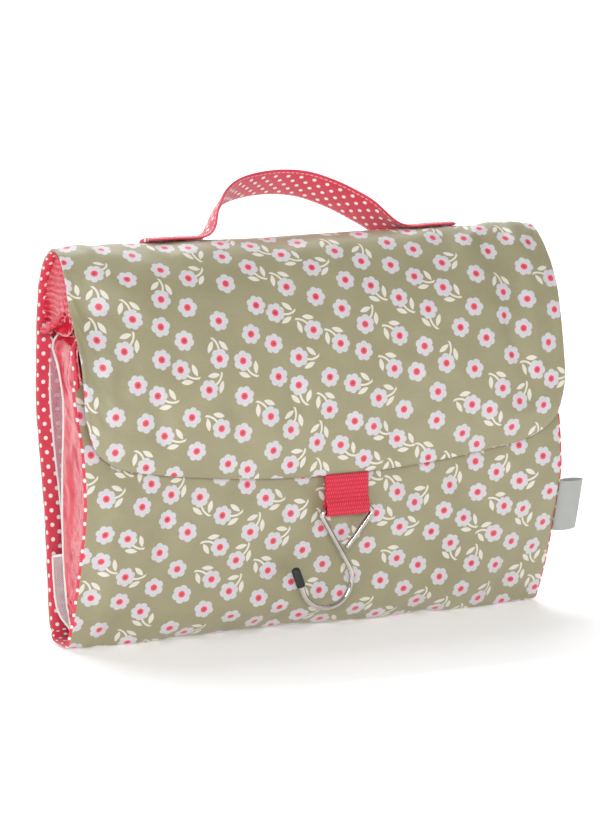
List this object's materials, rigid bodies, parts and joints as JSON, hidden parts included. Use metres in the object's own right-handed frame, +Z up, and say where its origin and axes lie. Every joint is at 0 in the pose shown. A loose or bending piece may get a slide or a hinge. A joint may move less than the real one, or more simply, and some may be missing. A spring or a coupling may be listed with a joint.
{
  "type": "hanging toiletry bag",
  "caption": "Folding hanging wash bag: a padded strip folds into back, ridge and flap, with zipped, mesh and gathered pockets, a strap handle and a wire hook on webbing.",
  "frame": {"origin": "on the resting face of the base, at mid-width, straight below the ridge", "axes": "+Z up from the base to the ridge, -Y the front with the flap and the hook, +X across the bag to the right as seen from the front"},
  "size_m": [0.2798, 0.0785, 0.2286],
  "materials": {
    "oilcloth": "satin coated cotton with a small flower print",
    "board": "stiffener, never seen",
    "dotted_cotton": "cotton with small white dots",
    "pink_vinyl": "glossy soft vinyl",
    "clear_vinyl": "soft clear film",
    "netting": "fine net",
    "zip_tape": "woven tape",
    "zip_chain": "coil",
    "white_tape": "binding, elastic and hook-and-loop tape",
    "webbing": "ribbed webbing",
    "wire": "polished wire",
    "cap": "matt",
    "ribbon": "satin ribbon",
    "slider": "polished"
  },
  "bodies": {
    "back": {"base_cover": "oilcloth", "base_board": "board", "base_lining": "dotted_cotton", "back_cover": "oilcloth", "back_board": "board", "back_lining": "dotted_cotton", "ridge_cover": "oilcloth", "ridge_lining": "dotted_cotton", "back_pocket_window": "clear_vinyl", "back_pocket_header": "pink_vinyl", "back_pocket_side_left": "clear_vinyl", "back_pocket_side_right": "clear_vinyl", "back_zip_tape_near": "zip_tape", "back_zip_tape_far": "zip_tape", "back_zip_chain": "zip_chain", "mesh_pocket_front": "netting", "mesh_pocket_binding": "white_tape", "mesh_pocket_side_left": "netting", "mesh_pocket_side_right": "netting", "pouch_sheet": "pink_vinyl", "pouch_elastic": "white_tape", "pouch_side_left": "pink_vinyl", "pouch_side_right": "pink_vinyl", "handle_tab_left": "dotted_cotton", "handle_tab_right": "dotted_cotton"},
    "flap": {"flap_cover": "oilcloth", "flap_board": "board", "flap_lining": "dotted_cotton", "flap_fastener_patch": "white_tape"},
    "front": {"front_cover": "oilcloth", "front_board": "board", "front_lining": "dotted_cotton", "front_fastener_patch": "white_tape", "front_pocket_window": "clear_vinyl", "front_pocket_header": "pink_vinyl", "front_pocket_side_left": "pink_vinyl", "front_pocket_side_right": "pink_vinyl", "front_zip_tape_near": "zip_tape", "front_zip_tape_far": "zip_tape", "front_zip_chain": "zip_chain", "label_loop": "ribbon"},
    "webbing": {"webbing_loop": "webbing"},
    "hook": {"hook_wire": "wire", "hook_cap": "cap"},
    "handle": {"handle_strap": "dotted_cotton"},
    "front_slider": {"front_zip_slider": "slider"},
    "front_pull": {"front_zip_pull": "zip_tape"},
    "back_slider": {"back_zip_slider": "slider"},
    "back_pull": {"back_zip_pull": "zip_tape"}
  },
  "joints": [
    {"name": "flap_fold", "type": "hinge", "parent": "back", "child": "flap", "pos_m": [0, -0.018, 0.188], "axis": [-1, 0, 0], "range_deg": [0, 160]},
    {"name": "front_fold", "type": "hinge", "parent": "back", "child": "front", "pos_m": [0, -0.013, 0.0016], "axis": [1, 0, 0], "range_deg": [0, 75]},
    {"name": "webbing_swing", "type": "hinge", "parent": "flap", "child": "webbing", "pos_m": [0.0075, -0.0393, 0.0822], "axis": [-1, 0, 0], "range_deg": [0, 60]},
    {"name": "hook_swing", "type": "hinge", "parent": "webbing", "child": "hook", "pos_m": [0.0075, -0.0393, 0.0642], "axis": [-1, 0, 0], "range_deg": [0, 110]},
    {"name": "handle_lean", "type": "hinge", "parent": "back", "child": "handle", "pos_m": [0.003, 0.0089, 0.1976], "axis": [-1, 0, 0], "range_deg": [-38, 45]},
    {"name": "front_zip_slide", "type": "slide", "parent": "front", "child": "front_slider", "axis": [1, 0, 0], "range_m": [0, 0.2]},
    {"name": "front_pull_lift", "type": "hinge", "parent": "front_slider", "child": "front_pull", "pos_m": [-0.1125, -0.0078, 0.1279], "axis": [0, -0.7914, 0.6113], "range_deg": [0, 120]},
    {"name": "back_zip_slide", "type": "slide", "parent": "back", "child": "back_slider", "axis": [-1, 0, 0], "range_m": [0, 0.2]},
    {"name": "back_pull_lift", "type": "hinge", "parent": "back_slider", "child": "back_pull", "pos_m": [0.1125, 0.00847, 0.13388], "axis": [0, 0.5027, 0.8644], "range_deg": [0, 120]}
  ],
  "couplings": [
    {"joint": "front_fold", "follows": "flap_fold", "ratio": 0.46875}
  ]
}
